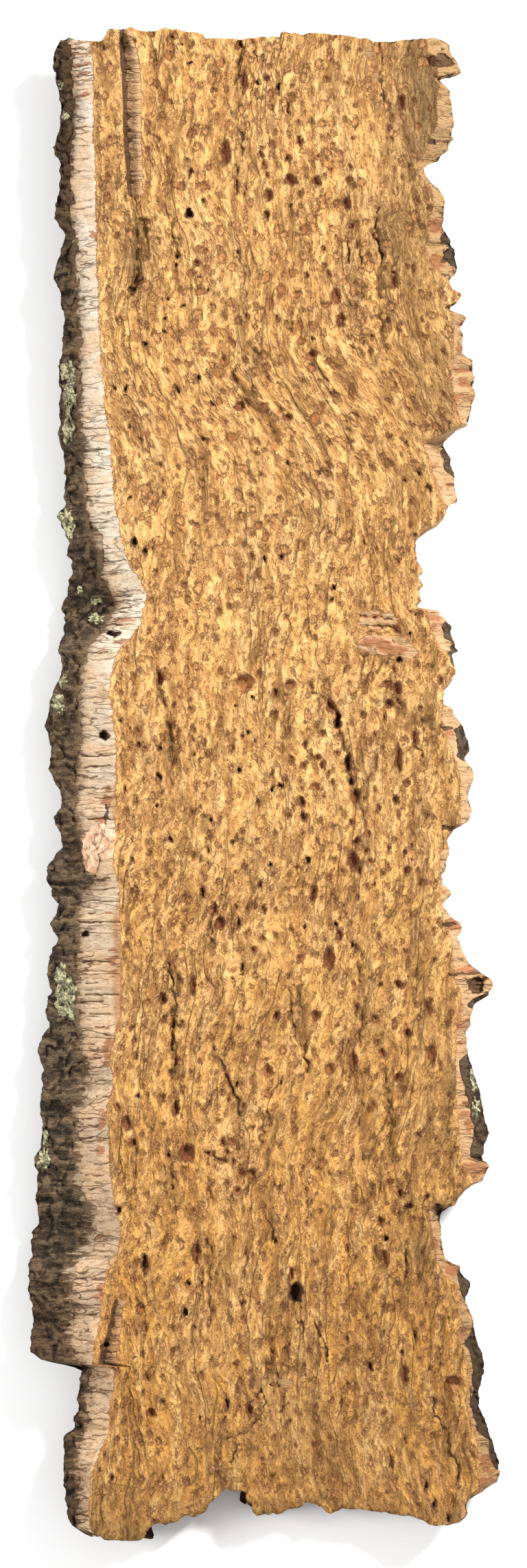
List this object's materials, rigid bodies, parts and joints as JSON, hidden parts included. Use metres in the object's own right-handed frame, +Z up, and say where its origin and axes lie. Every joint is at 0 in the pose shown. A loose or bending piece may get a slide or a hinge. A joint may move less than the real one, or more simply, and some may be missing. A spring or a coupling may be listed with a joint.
{
  "type": "cork bark slab",
  "caption": "Long slab of virgin cork bark, concave and pitted inside, rough outside, with one cut edge and one torn edge, resting on its outer side.",
  "frame": {"origin": "centre of the bounding box in plan, at the floor the bark stands on", "axes": "+Z up, out of the pitted inner side; +Y along the length, towards the end that is uppermost in the picture; +X across, towards the torn edge"},
  "size_m": [0.3109, 1.0001, 0.0658],
  "materials": {
    "cork": "rough, pitted raw cork, golden inside, pale on the cut edge, dark grey brown outside with crusts of pale lichen"
  },
  "bodies": {
    "root": {"cork_bark": "cork"}
  },
  "joints": []
}
